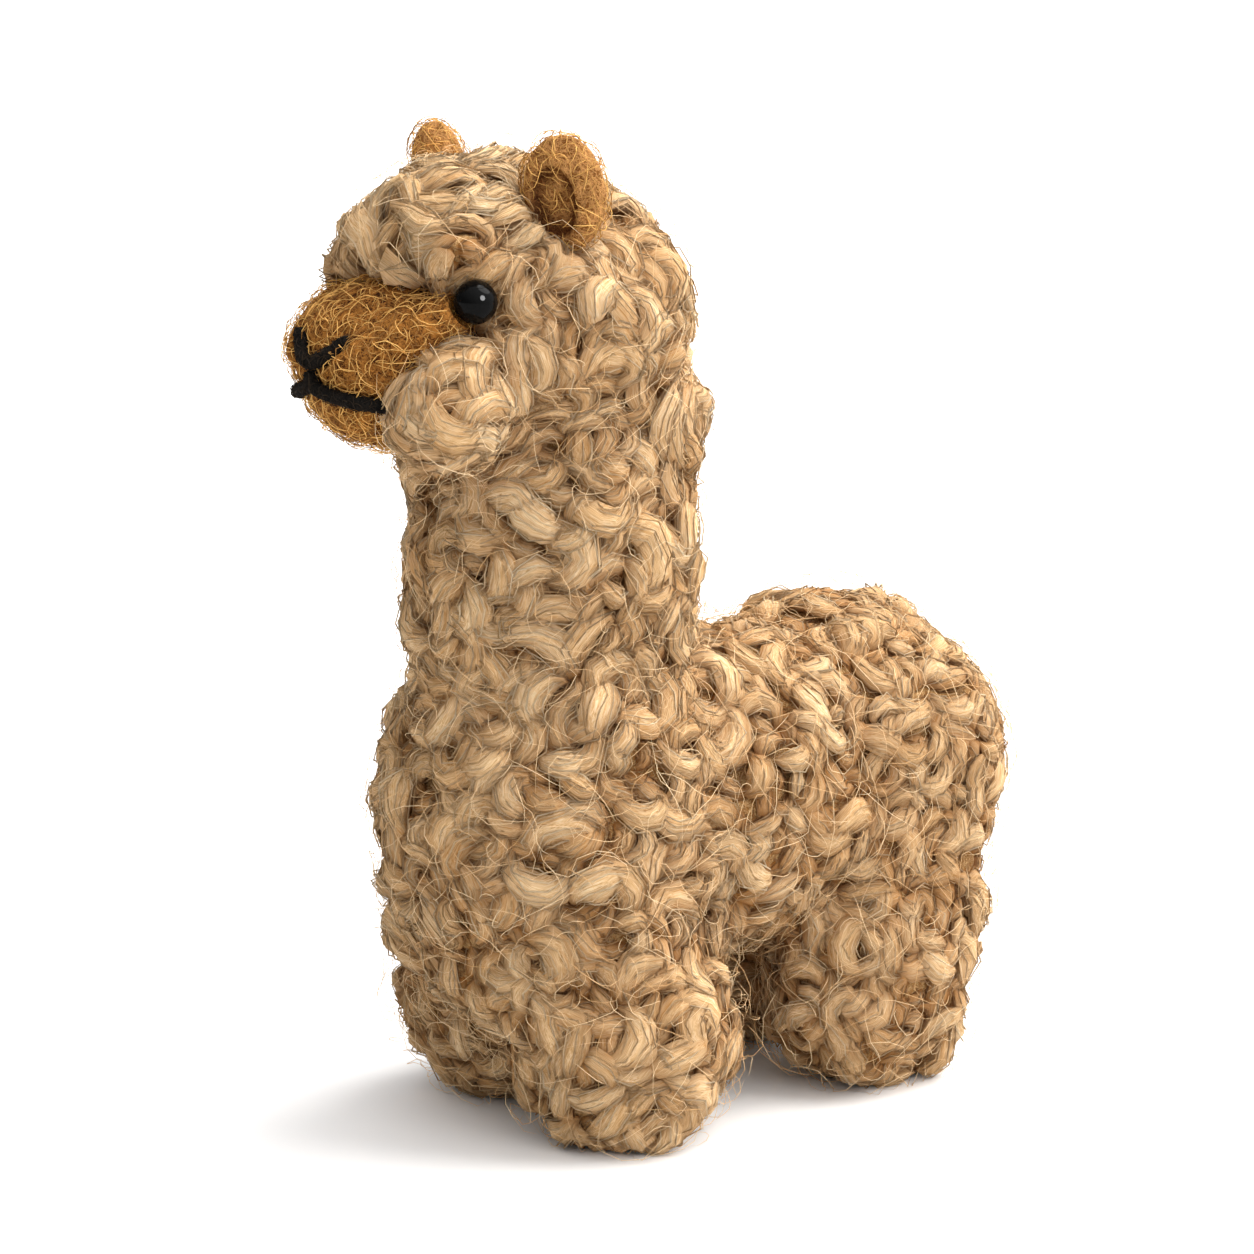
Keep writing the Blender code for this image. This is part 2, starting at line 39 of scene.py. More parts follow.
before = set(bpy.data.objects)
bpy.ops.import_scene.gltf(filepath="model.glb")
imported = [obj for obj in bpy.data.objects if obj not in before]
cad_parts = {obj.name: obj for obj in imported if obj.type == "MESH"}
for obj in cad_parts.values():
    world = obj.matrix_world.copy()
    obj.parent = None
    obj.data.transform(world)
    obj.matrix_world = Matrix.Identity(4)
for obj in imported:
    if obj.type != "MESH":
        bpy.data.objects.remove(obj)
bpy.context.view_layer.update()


# Wool core of the body.
# Raw wool needled firm into one lump: feet, trunk, neck and head. It carries the coat and shows
# only in the creases between the locks. Its colour is painted shade: darker and browner than the
# coat, so that it reads as the shadow in those creases.
CORE_VOXEL = 1.55 * MM
CORE_SOFTENING = 6
CORE_DEPTH = 1.4 * MM
# Painted shade: the core's felt colours, dark so that bare core reads as the shadow in the
# creases.
CREASE_SHADE_BROWN = (0.26, 0.12, 0.035)
CREASE_SHADE_SAND = (0.60, 0.36, 0.155)
# Each pad is a ball of wool on the core, given by its middle and its radii.
CHEEK_PADS = [(Vector((10.8, -39.2, 89.6)) * MM, Vector((6.6, 7.4, 7.4)) * MM),
              (Vector((-11.5, -33.8, 89.0)) * MM, Vector((5.8, 6.2, 6.6)) * MM)]
BROW_PADS = [(Vector((10.2, -36.8, 107.6)) * MM, Vector((4.4, 4.4, 3.6)) * MM),
             (Vector((-8.6, -37.0, 106.4)) * MM, Vector((3.8, 3.6, 3.6)) * MM),
             (Vector((-11.6, -38.6, 103.6)) * MM, Vector((2.6, 2.6, 2.8)) * MM)]
CROWN_PADS = [(Vector((-0.4, -24.0, 110.0)) * MM, Vector((8.0, 8.0, 7.8)) * MM),
              (Vector((-8.0, -27.0, 109.0)) * MM, Vector((5.0, 5.0, 7.3)) * MM)]
WELD_DISTANCE = 0.001 * MM
CORE_FIBRE_WIDTH = 0.11 * MM
CORE_RELIEF = 0.2 * MM
CORE_FIBRE_LAYERS = 2
FELT_FIBRE_LAYERS = 4
FIBRE_GAP = 8
FIBRE_LINE_SHARE = 0.045
LAYER_STEP = 7.3
MAT_GAP = 14


def new_object(name, mesh):
    obj = bpy.data.objects.new(name, mesh)
    bpy.context.scene.collection.objects.link(obj)
    return obj


def settle(obj):
    """The object keeps what its modifiers make, as a plain mesh."""
    depsgraph = bpy.context.evaluated_depsgraph_get()
    mesh = bpy.data.meshes.new_from_object(obj.evaluated_get(depsgraph))
    obj.modifiers.clear()
    obj.data = mesh
    return obj


def felted_copy(node, name, voxel, softening, depth, pads=()):
    """A finer, softer copy of a CAD node's skin with pads of wool added, moved in by a depth."""
    obj = new_object(name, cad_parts[node].data.copy())
    bm = bmesh.new()
    bm.from_mesh(obj.data)
    bmesh.ops.remove_doubles(bm, verts=bm.verts, dist=WELD_DISTANCE)
    for middle, radii in pads:
        bmesh.ops.create_uvsphere(bm, u_segments=24, v_segments=12, radius=1.0,
                                  matrix=Matrix.Translation(middle) @ Matrix.Diagonal((*radii, 1)))
    bm.to_mesh(obj.data)
    bm.free()
    felting = obj.modifiers.new("felting", 'REMESH')
    felting.mode = 'VOXEL'
    felting.voxel_size = voxel
    softer = obj.modifiers.new("softening", 'SMOOTH')
    softer.factor = 0.5
    softer.iterations = softening
    drawn_in = obj.modifiers.new("drawn in", 'DISPLACE')
    drawn_in.mid_level = 0.0
    drawn_in.strength = -depth
    settle(obj)
    obj.data.materials.clear()
    obj.data.shade_smooth()
    return obj


def add_node(tree, kind, inputs=None, **settings):
    """A node of a tree, with its settings made and its inputs set or linked by identifier."""
    node = tree.nodes.new(kind)
    for name, value in settings.items():
        setattr(node, name, value)
    for key, value in (inputs or {}).items():
        socket = next(s for s in node.inputs if s.identifier == key)
        if isinstance(value, bpy.types.NodeSocket):
            tree.links.new(value, socket)
        else:
            socket.default_value = value
    return node


def new_material(name):
    """An empty material with its shader wired to the output."""
    material = bpy.data.materials.new(name)
    material.use_nodes = True
    tree = material.node_tree
    tree.nodes.clear()
    shader = add_node(tree, "ShaderNodeBsdfPrincipled")
    add_node(tree, "ShaderNodeOutputMaterial", {"Surface": shader.outputs["BSDF"]})
    return material, tree, shader


def output_of(node, identifier):
    return next(s for s in node.outputs if s.identifier == identifier)


def math_node(tree, operation, a, b=0.0, c=None, **settings):
    inputs = {"Value": a, "Value_001": b}
    if c is not None:
        inputs["Value_002"] = c
    made = add_node(tree, "ShaderNodeMath", inputs, operation=operation, **settings)
    return made.outputs["Value"]


def vector_node(tree, operation, a, b=None, c=None, scale=None):
    inputs = {"Vector": a, "Vector_001": b, "Vector_002": c, "Scale": scale}
    inputs = {name: value for name, value in inputs.items() if value is not None}
    made = add_node(tree, "ShaderNodeVectorMath", inputs, operation=operation)
    return made.outputs["Vector"]


def remapped(tree, value, low, high, to_low=0.0, to_high=1.0):
    """A value's range low to high, stretched over another range and held within it."""
    made = add_node(tree, "ShaderNodeMapRange", {"Value": value, "From Min": low,
                                                 "From Max": high, "To Min": to_low,
                                                 "To Max": to_high})
    return made.outputs["Result"]


def mixed(tree, share, first, second, **settings):
    """Two colours mixed, each a triple or the output of another node."""
    first, second = (colour if isinstance(colour, bpy.types.NodeSocket) else (*colour, 1)
                     for colour in (first, second))
    made = add_node(tree, "ShaderNodeMix", {"Factor_Float": share, "A_Color": first,
                                            "B_Color": second}, data_type='RGBA', **settings)
    return output_of(made, "Result_Color")


def attribute_of(tree, name, output="Fac"):
    return add_node(tree, "ShaderNodeAttribute", attribute_name=name).outputs[output]


def dress_shader(tree, shader, colour, roughness, gloss, relief=None):
    """Wires the looks of a matt fibre into its shader."""
    tree.links.new(colour, shader.inputs["Base Color"])
    tree.links.new(roughness, shader.inputs["Roughness"])
    shader.inputs["Specular IOR Level"].default_value = gloss
    if relief is not None:
        tree.links.new(relief.outputs["Normal"], shader.inputs["Normal"])


def fibre_lines(tree, place, fibre_width, layers):
    """Thin curved lines that cross, like single fibres: each layer is a noise's level line.

    FIBRE_GAP and MAT_GAP count fibre widths; FIBRE_LINE_SHARE is how wide a line is drawn.
    """
    lines = None
    for layer in range(layers):
        noise = add_node(tree, "ShaderNodeTexNoise",
                         {"Vector": place, "W": LAYER_STEP * layer, "Detail": 2.0,
                          "Scale": 1 / (FIBRE_GAP * fibre_width), "Roughness": 0.55},
                         noise_dimensions='4D')
        from_level = math_node(tree, 'SUBTRACT', noise.outputs["Fac"], 0.5)
        distance = math_node(tree, 'ABSOLUTE', from_level)
        line = remapped(tree, distance, 0.0, FIBRE_LINE_SHARE, 1.0, 0.0)
        lines = line if lines is None else math_node(tree, 'MAXIMUM', lines, line)
    return lines


def felt_material(name, dark, light, fibre_width, relief_depth, layers=FELT_FIBRE_LAYERS):
    """Matted wool: fine fibres in every direction, lighter where they lie on top, with painted
    shade in the felt between them.
    """
    material, tree, shader = new_material(name)
    place = add_node(tree, "ShaderNodeTexCoord").outputs["Object"]
    lines = fibre_lines(tree, place, fibre_width, layers)
    mats = add_node(tree, "ShaderNodeTexNoise",
                    {"Vector": place, "Scale": 1 / (MAT_GAP * fibre_width), "Detail": 3.0})
    mats = remapped(tree, mats.outputs["Fac"], 0.35, 0.7, -0.15, 0.45)
    # Painted shade: the felt between the fibre lines is darker than the fibres on top.
    tone = math_node(tree, 'MULTIPLY_ADD', lines, 0.75, mats, use_clamp=True)
    relief = add_node(tree, "ShaderNodeBump", {"Strength": 0.8, "Distance": relief_depth,
                                               "Height": lines})
    dress_shader(tree, shader, mixed(tree, tone, dark, light),
                 remapped(tree, lines, 0.0, 1.0, 0.95, 0.75), 0.06, relief)
    return material


wool_core = felted_copy("fleece_body", "wool_core", CORE_VOXEL, CORE_SOFTENING, CORE_DEPTH,
                        CHEEK_PADS + BROW_PADS + CROWN_PADS)
# The core's felt, in colours darkened as painted shade.
shaded_core_wool = felt_material("shaded_core_wool", CREASE_SHADE_BROWN, CREASE_SHADE_SAND, CORE_FIBRE_WIDTH, CORE_RELIEF,
                          CORE_FIBRE_LAYERS)
wool_core.data.materials.append(shaded_core_wool)
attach(wool_core, "root")
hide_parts("fleece_body")


# Coat of curled locks.
# Washed alpaca locks, each a bundle of long fibres that keeps its natural curl. They are laid on
# the core one beside the other and needled down at their ends, so each one stands up as a puff.
LOCK_PALE = (0.97, 0.79, 0.53)
LOCK_CREAM = (0.87, 0.60, 0.325)
LOCK_TAN = (0.55, 0.285, 0.095)
# The colour of the painted shade near the core and in the creases between locks.
LOCK_CREASE_SHADE = (0.32, 0.12, 0.02)
LOCK_FLATNESS = 0.64
LOCK_DOWN = 0.7
LOCK_SIDES = 5
# The lock bodies take a lower tone than most of their fibres: painted shade, as they lie under
# them.
BODY_SHADED_BRIGHTNESS = 0.3
FIBRE_FAN = math.radians(220)
FIBRE_LIFT = 0.56
FIBRE_SLANT = 0.9
WANDER_LENGTH = 2.6 * MM
CURL_CENTRING = 0.7
SCATTER_DENSITY = 4.0e6
FLOOR_GAP = 0.06 * MM


class TreeMaker:
    """Short ways to write the nodes of one Geometry Nodes tree."""

    def __init__(self, name, inputs):
        self.tree = bpy.data.node_groups.new(name, 'GeometryNodeTree')
        self.identifiers = {}
        for label, kind in inputs:
            socket = self.tree.interface.new_socket(label, in_out='INPUT',
                                                    socket_type="NodeSocket" + kind)
            self.identifiers[label] = socket.identifier
        result = self.tree.interface.new_socket("Geometry", in_out='OUTPUT',
                                                socket_type="NodeSocketGeometry")
        self.result = result.identifier
        self.entry = self.tree.nodes.new("NodeGroupInput")

    def given(self, label):
        return self.entry.outputs[label]

    def node(self, kind, inputs=None, **settings):
        return add_node(self.tree, kind, inputs, **settings)

    def math(self, operation, a, b=0.0):
        return math_node(self.tree, operation, a, b)

    def vector(self, operation, a, b=None, scale=None):
        return vector_node(self.tree, operation, a, b, scale=scale)

    def chance(self, low, high, seed, identity=None):
        inputs = {"Min_001": low, "Max_001": high, "Seed": seed}
        if identity is not None:
            inputs["ID"] = identity
        return self.node("FunctionNodeRandomValue", inputs, data_type='FLOAT').outputs[1]

    def store(self, geometry, name, value, data_type='FLOAT', domain='POINT'):
        made = self.node("GeometryNodeStoreNamedAttribute",
                         {"Geometry": geometry, "Name": name, "Value": value},
                         data_type=data_type, domain=domain)
        return made.outputs["Geometry"]

    def read(self, name, data_type='FLOAT'):
        made = self.node("GeometryNodeInputNamedAttribute", {"Name": name},
                         data_type=data_type)
        return made.outputs["Attribute"]

    def finish(self, geometry):
        self.node("NodeGroupOutput", {self.result: geometry})
        return self.tree, self.identifiers

    def finish_wool(self, wool):
        """Ends a tree that grows wool: smooth, real and in the given material."""
        for kind in ("GeometryNodeSetShadeSmooth", "GeometryNodeRealizeInstances"):
            wool = self.node(kind, {"Geometry": wool}).outputs["Geometry"]
        wool = self.node("GeometryNodeSetMaterial", {"Geometry": wool,
                                                     "Material": self.given("Material")})
        return self.finish(wool.outputs["Geometry"])


PATH_SIZES = [("Spacing", "Float"), ("Curl Radius", "Float"), ("Size Spread", "Float"),
              ("Least Sweep", "Float"), ("Most Sweep", "Float"), ("Wind In", "Float"),
              ("Wave Share", "Float"), ("Wave Length", "Float"), ("Wave Height", "Float"),
              ("Comb", "Vector"), ("Comb Spread", "Float"), ("Least Height", "Float"),
              ("Most Height", "Float"), ("Hump", "Float"), ("Path Points", "Int"),
              ("Seed", "Int")]


def curl_paths_tree():
    """Centre lines of curls that lie on a surface: arcs that wind in, or combed waves."""
    maker = TreeMaker("curl paths", [("Surface", "Geometry"), *PATH_SIZES])
    given, chance, math_of, vector = maker.given, maker.chance, maker.math, maker.vector
    seed = given("Seed")

    def seed_of(step):
        return math_of('ADD', seed, float(step))

    scatter = maker.node("GeometryNodeDistributePointsOnFaces",
                         {"Mesh": given("Surface"), "Distance Min": given("Spacing"),
                          "Density Max": SCATTER_DENSITY,
                          "Density Factor": maker.read("lock_share"),
                          "Seed": seed}, distribute_method='POISSON')
    points = scatter.outputs["Points"]
    facing = scatter.outputs["Normal"]
    points = maker.store(points, "facing", facing, 'FLOAT_VECTOR')
    points = maker.store(points, "root", maker.node("GeometryNodeInputPosition").outputs[0],
                         'FLOAT_VECTOR')
    jitter = maker.node("FunctionNodeRandomValue",
                        {"Min": (-1, -1, -1), "Max": (1, 1, 1), "Seed": seed_of(1)},
                        data_type='FLOAT_VECTOR').outputs[0]
    heading = vector('ADD', given("Comb"), vector('SCALE', jitter, scale=given("Comb Spread")))
    points = maker.store(points, "heading", heading, 'FLOAT_VECTOR')
    points = maker.store(points, "start", chance(0.0, 2 * math.pi, seed_of(2)))
    sweep = chance(given("Least Sweep"), given("Most Sweep"), seed_of(3))
    turn = math_of('SIGN', chance(-1.0, 1.0, seed_of(4)))
    points = maker.store(points, "sweep", math_of('MULTIPLY', sweep, turn))
    spread = given("Size Spread")
    size = chance(math_of('SUBTRACT', 1.0, spread), math_of('ADD', 1.0, spread), seed_of(5))
    points = maker.store(points, "size", size)
    points = maker.store(points, "rise",
                         chance(given("Least Height"), given("Most Height"), seed_of(6)))
    points = maker.store(points, "shade", chance(0.0, 1.0, seed_of(7)))
    points = maker.store(points, "waved",
                         math_of('LESS_THAN', chance(0.0, 1.0, seed_of(8)),
                                 given("Wave Share")))

    line = maker.node("GeometryNodeCurvePrimitiveLine",
                      {"Start": (0, 0, 0), "End": (0.001, 0, 0)})
    line = maker.node("GeometryNodeResampleCurve",
                      {"Curve": line.outputs["Curve"], "Count": given("Path Points")})
    laid = maker.node("GeometryNodeInstanceOnPoints",
                      {"Points": points, "Instance": line.outputs["Curve"]})
    laid = maker.node("GeometryNodeRealizeInstances",
                      {"Geometry": laid.outputs["Instances"]}).outputs["Geometry"]

    share = maker.node("GeometryNodeSplineParameter").outputs["Factor"]
    laid = maker.store(laid, "share", share)
    share = maker.read("share")
    up = maker.read("facing", 'FLOAT_VECTOR')
    across = vector('NORMALIZE', vector('CROSS_PRODUCT', up,
                                        maker.read("heading", 'FLOAT_VECTOR')))
    along = vector('CROSS_PRODUCT', across, up)
    start = maker.read("start")
    angle = math_of('ADD', start, math_of('MULTIPLY', maker.read("sweep"), share))
    winding = math_of('ADD', 1.0, math_of('MULTIPLY', given("Wind In"),
                                          math_of('SUBTRACT', 0.33, share)))
    radius = math_of('MULTIPLY', math_of('MULTIPLY', given("Curl Radius"), maker.read("size")),
                     winding)
    middle_angle = math_of('ADD', start, math_of('MULTIPLY', maker.read("sweep"), 0.5))

    def on_circle(radius, angle):
        rightwards = math_of('MULTIPLY', radius, math_of('COSINE', angle))
        forwards = math_of('MULTIPLY', radius, math_of('SINE', angle))
        return vector('ADD', vector('SCALE', across, scale=rightwards),
                      vector('SCALE', along, scale=forwards))

    full_radius = math_of('MULTIPLY', given("Curl Radius"), maker.read("size"))
    middle = vector('SCALE', on_circle(full_radius, middle_angle), scale=CURL_CENTRING)
    curl = vector('SUBTRACT', on_circle(radius, angle), middle)
    reach = math_of('MULTIPLY', math_of('MULTIPLY', given("Wave Length"), maker.read("size")),
                    math_of('SUBTRACT', share, 0.5))
    swing = math_of('MULTIPLY', given("Wave Height"), math_of('SINE', angle))
    wave = vector('ADD', vector('SCALE', along, scale=reach),
                  vector('SCALE', across, scale=swing))
    offset = maker.node("ShaderNodeMix", {"Factor_Float": maker.read("waved"),
                                          "A_Vector": curl, "B_Vector": wave},
                        data_type='VECTOR')
    offset = output_of(offset, "Result_Vector")
    flat = vector('ADD', maker.read("root", 'FLOAT_VECTOR'), offset)
    nearest = maker.node("GeometryNodeProximity",
                         {"Target": given("Surface"), "Source Position": flat},
                         target_element='FACES').outputs["Position"]
    surface_normal = maker.node("GeometryNodeSampleNearestSurface",
                                {"Mesh": given("Surface"),
                                 "Value": maker.node("GeometryNodeInputNormal").outputs[0],
                                 "Sample Position": flat},
                                data_type='FLOAT_VECTOR').outputs["Value"]
    surface_normal = vector('NORMALIZE', surface_normal)
    hump = math_of('MULTIPLY', given("Hump"),
                   math_of('SINE', math_of('MULTIPLY', share, math.pi)))
    height = math_of('ADD', maker.read("rise"), hump)
    place = vector('ADD', nearest, vector('SCALE', surface_normal, scale=height))
    laid = maker.store(laid, "lock_up", surface_normal, 'FLOAT_VECTOR')
    laid = maker.store(laid, "place", place, 'FLOAT_VECTOR')
    laid = maker.node("GeometryNodeSetPosition",
                      {"Geometry": laid, "Position": maker.read("place", 'FLOAT_VECTOR')})
    return maker.finish(laid.outputs["Geometry"])


PATH_TREE, PATH_INPUTS = curl_paths_tree()


def laid_paths(maker):
    """The curl paths group inside another tree, fed by that tree's own inputs."""
    group = maker.tree.nodes.new("GeometryNodeGroup")
    group.node_tree = PATH_TREE
    for label, identifier in PATH_INPUTS.items():
        socket = next(s for s in group.inputs if s.identifier == identifier)
        maker.tree.links.new(maker.given(label), socket)
    return group.outputs[0]


def swept_tube(maker, path, thickness, sides, brightness, flatness=1.0):
    """A closed tube along paths, with how far round and along it each point is."""
    profile = maker.node("GeometryNodeCurvePrimitiveCircle",
                         {"Resolution": sides, "Radius": 0.5}).outputs["Curve"]
    round_place = maker.node("GeometryNodeInputPosition").outputs[0]
    profile = maker.store(profile, "round_place", round_place, 'FLOAT_VECTOR')
    profile = maker.node("GeometryNodeTransform",
                         {"Geometry": profile, "Scale": (flatness, 1.0, 1.0)})
    tube = maker.node("GeometryNodeCurveToMesh",
                      {"Curve": path, "Profile Curve": profile.outputs["Geometry"],
                       "Scale": thickness, "Fill Caps": True}).outputs["Mesh"]
    return maker.store(tube, "brightness", brightness)


def bundle_tree():
    """Copies of each path, spread over its lock's back and left to wander, as thin tubes."""
    maker = TreeMaker("fibre bundle", [("Paths", "Geometry"), ("Points", "Int"),
                                       ("Count", "Int"), ("Thickness", "Float"),
                                       ("Spread", "Float"), ("Lift", "Float"),
                                       ("Wander", "Float"), ("Darkest", "Float"),
                                       ("Brightest", "Float"), ("Seed", "Int")])
    given, math_of, vector = maker.given, maker.math, maker.vector
    share = maker.read("share")
    fewer = maker.node("GeometryNodeResampleCurve", {"Curve": given("Paths"),
                                                     "Count": given("Points")})
    copies = maker.node("GeometryNodeDuplicateElements",
                        {"Geometry": fewer.outputs["Curve"], "Amount": given("Count")},
                        domain='SPLINE')
    fibres = maker.store(copies.outputs["Geometry"], "number",
                         copies.outputs["Duplicate Index"], domain='CURVE')
    identity = maker.node("GeometryNodeInputIndex").outputs[0]
    fibres = maker.store(fibres, "stray", maker.chance(0.0, 1.0, given("Seed"), identity),
                         domain='CURVE')
    stray = maker.read("stray")
    lane = math_of('ADD', maker.read("number"),
                   math_of('ADD', 0.15, math_of('MULTIPLY', 0.7, stray)))
    lane = math_of('SUBTRACT', math_of('DIVIDE', lane, given("Count")), 0.5)
    turn = math_of('MULTIPLY', lane, given("Spread"))
    turn = math_of('ADD', turn, math_of('MULTIPLY', math_of('SUBTRACT', share, 0.5),
                                        FIBRE_SLANT))
    up = maker.read("lock_up", 'FLOAT_VECTOR')
    tangent = maker.node("GeometryNodeInputTangent").outputs[0]
    side = vector('NORMALIZE', vector('CROSS_PRODUCT', up, tangent))
    out = math_of('MULTIPLY', maker.read("thickness"), given("Lift"))
    rise = math_of('MULTIPLY', math_of('MULTIPLY', out, LOCK_FLATNESS),
                   math_of('COSINE', turn))
    offset = vector('ADD', vector('SCALE', up, scale=rise),
                    vector('SCALE', side, scale=math_of('MULTIPLY', out,
                                                        math_of('SINE', turn))))
    wander = maker.node("ShaderNodeTexNoise",
                        {"Vector": vector('SCALE', maker.read("place", 'FLOAT_VECTOR'),
                                          scale=1 / WANDER_LENGTH),
                         "W": math_of('MULTIPLY', stray, 40.0), "Detail": 1.0},
                        noise_dimensions='4D').outputs["Color"]
    loose = math_of('ABSOLUTE', math_of('SUBTRACT', share, 0.5))
    loose = math_of('MULTIPLY', given("Wander"), math_of('ADD', 0.6, loose))
    wander = vector('SCALE', vector('SUBTRACT', wander, (0.5, 0.5, 0.5)), scale=loose)
    fibres = maker.node("GeometryNodeSetPosition",
                        {"Geometry": fibres, "Offset": vector('ADD', offset, wander)})
    taper = math_of('POWER', math_of('SINE', math_of('MULTIPLY', share, math.pi)), 0.5)
    taper = math_of('MULTIPLY', math_of('MAXIMUM', taper, 0.25), given("Thickness"))
    brightness = math_of('ADD', given("Darkest"),
                         math_of('MULTIPLY', stray, math_of('SUBTRACT', given("Brightest"),
                                                            given("Darkest"))))
    strands = swept_tube(maker, fibres.outputs["Geometry"], taper, 3, brightness)
    return maker.finish(strands)


BUNDLE_TREE, BUNDLE_INPUTS = bundle_tree()


def bundle(maker, paths, sizes):
    """The fibre bundle group inside another tree, fed with numbers or other nodes' outputs."""
    group = maker.tree.nodes.new("GeometryNodeGroup")
    group.node_tree = BUNDLE_TREE
    for label, value in {"Paths": paths, **sizes}.items():
        socket = next(s for s in group.inputs if s.identifier == BUNDLE_INPUTS[label])
        if isinstance(value, bpy.types.NodeSocket):
            maker.tree.links.new(value, socket)
        else:
            socket.default_value = value
    return group.outputs[0]


def curled_locks_tree():
    """Each lock is a plump flattened body with single fibres that lie on it and cross it."""
    maker = TreeMaker("curled locks", [("Surface", "Geometry"), *PATH_SIZES,
                                       ("Lock Thickness", "Float"), ("Fibre Count", "Int"),
                                       ("Fibre Points", "Int"), ("Fibre Thickness", "Float"),
                                       ("Wander", "Float"), ("Material", "Material")])
    given, math_of = maker.given, maker.math
    paths = laid_paths(maker)
    share = maker.read("share")
    fullness = math_of('POWER', math_of('SINE', math_of('MULTIPLY', math_of('POWER', share, 0.8),
                                                        math.pi)), 0.75)
    fullness = math_of('MAXIMUM', fullness, 0.1)
    thickness = math_of('MULTIPLY', math_of('MULTIPLY', given("Lock Thickness"),
                                            maker.read("size")), fullness)
    paths = maker.store(paths, "thickness", thickness)
    level = maker.node("GeometryNodeSetCurveNormal",
                       {"Curve": paths, "Normal": maker.read("lock_up", 'FLOAT_VECTOR')},
                       mode='FREE').outputs["Curve"]
    body = swept_tube(maker, level, maker.read("thickness"), LOCK_SIDES, BODY_SHADED_BRIGHTNESS,
                      LOCK_FLATNESS)
    fibres = bundle(maker, paths, {"Points": given("Fibre Points"),
                                   "Count": given("Fibre Count"),
                                   "Thickness": given("Fibre Thickness"),
                                   "Spread": FIBRE_FAN, "Lift": FIBRE_LIFT,
                                   "Wander": given("Wander"),
                                   "Darkest": 0.1, "Brightest": 1.0, "Seed": 57})
    joined = maker.node("GeometryNodeJoinGeometry")
    for part in (fibres, body):
        maker.tree.links.new(part, joined.inputs[0])
    # How far each point stands off the core; the lock material paints shade in the creases by it.
    depth = maker.node("GeometryNodeProximity", {"Target": given("Surface")},
                       target_element='FACES').outputs["Distance"]
    coat = maker.store(joined.outputs[0], "above_core",
                       math_of('DIVIDE', depth, given("Lock Thickness")))
    return maker.finish_wool(coat)


LOCK_TWIST = 1.1
LOCK_SHIFT = 83.0
LANE_BEND = 0.22
STREAKS_PER_UNIT = (34, 34, 3.0)
STREAK_CONTRAST = 3.4
STREAK_RELIEF = 0.18 * MM
MIDDLE_TONES = (1.5, 2.35)
PALE_TONES = (2.3, 3.0)
CREASE_SHADE_HEIGHT = 0.68


def lock_material():
    """Long parallel fibres: streaks along each lock, with painted shade that turns each lock brown
    near the core and in the creases.
    """
    material, tree, shader = new_material("curled_wool")
    along = attribute_of(tree, "share")
    shade = attribute_of(tree, "shade")
    turned = add_node(tree, "ShaderNodeVectorRotate",
                      {"Vector": attribute_of(tree, "round_place", "Vector"),
                       "Angle": math_node(tree, 'MULTIPLY', along, LOCK_TWIST)},
                      rotation_type='Z_AXIS')
    split = add_node(tree, "ShaderNodeSeparateXYZ", {"Vector": turned.outputs["Vector"]})
    lane = add_node(tree, "ShaderNodeCombineXYZ", {"X": split.outputs["X"],
                                                   "Y": split.outputs["Y"], "Z": along})
    lane = lane.outputs["Vector"]
    lock_shift = math_node(tree, 'MULTIPLY', shade, LOCK_SHIFT)
    bend = add_node(tree, "ShaderNodeTexNoise",
                    {"Vector": vector_node(tree, 'ADD', lane, lock_shift), "Scale": 3.0,
                     "Detail": 0.0}).outputs["Color"]
    bent = vector_node(tree, 'ADD', lane, vector_node(tree, 'SCALE', bend, scale=LANE_BEND))
    stretched = vector_node(tree, 'MULTIPLY_ADD', bent, STREAKS_PER_UNIT, lock_shift)
    streaks = add_node(tree, "ShaderNodeTexNoise",
                       {"Vector": stretched, "Scale": 1.0, "Detail": 2.0,
                        "Roughness": 0.7}).outputs["Fac"]
    lock_tone = math_node(tree, 'MULTIPLY_ADD', shade, 0.3, attribute_of(tree, "brightness"))
    tone = math_node(tree, 'MULTIPLY_ADD', streaks, STREAK_CONTRAST, lock_tone)
    colour = mixed(tree, remapped(tree, tone, *MIDDLE_TONES), LOCK_TAN, LOCK_CREAM)
    colour = mixed(tree, remapped(tree, tone, *PALE_TONES), colour, LOCK_PALE)
    # Painted shade: each lock darkens towards the core, in the creases between the locks.
    out_of_shade = remapped(tree, attribute_of(tree, "above_core"), 0.0, CREASE_SHADE_HEIGHT)
    colour = mixed(tree, out_of_shade, LOCK_CREASE_SHADE, colour)
    downy = vector_node(tree, 'SCALE', attribute_of(tree, "lock_up", "Vector"), scale=LOCK_DOWN)
    skin = add_node(tree, "ShaderNodeNewGeometry").outputs["Normal"]
    downy = vector_node(tree, 'NORMALIZE', vector_node(tree, 'ADD', downy, skin))
    relief = add_node(tree, "ShaderNodeBump", {"Strength": 1.0, "Distance": STREAK_RELIEF,
                                               "Height": streaks, "Normal": downy})
    dress_shader(tree, shader, colour, remapped(tree, streaks, 0.0, 1.0, 0.9, 0.6), 0.1, relief)
    return material


def grow(name, surface, shares, tree, identifiers, sizes, material):
    """Runs a tree on a surface, where each of its points takes a share of 0 to 1 of locks."""
    obj = new_object(name, surface.data.copy())
    attribute = obj.data.attributes.new("lock_share", 'FLOAT', 'POINT')
    attribute.data.foreach_set("value", shares.astype(np.float32))
    modifier = obj.modifiers.new(name, 'NODES')
    modifier.node_group = tree
    for label, value in sizes.items():
        modifier[identifiers[label]] = value
    modifier[identifiers["Material"]] = material
    settle(obj)
    return obj


def points_of(mesh):
    places = np.zeros(len(mesh.vertices) * 3, np.float32)
    mesh.vertices.foreach_get("co", places)
    return places.reshape(-1, 3)


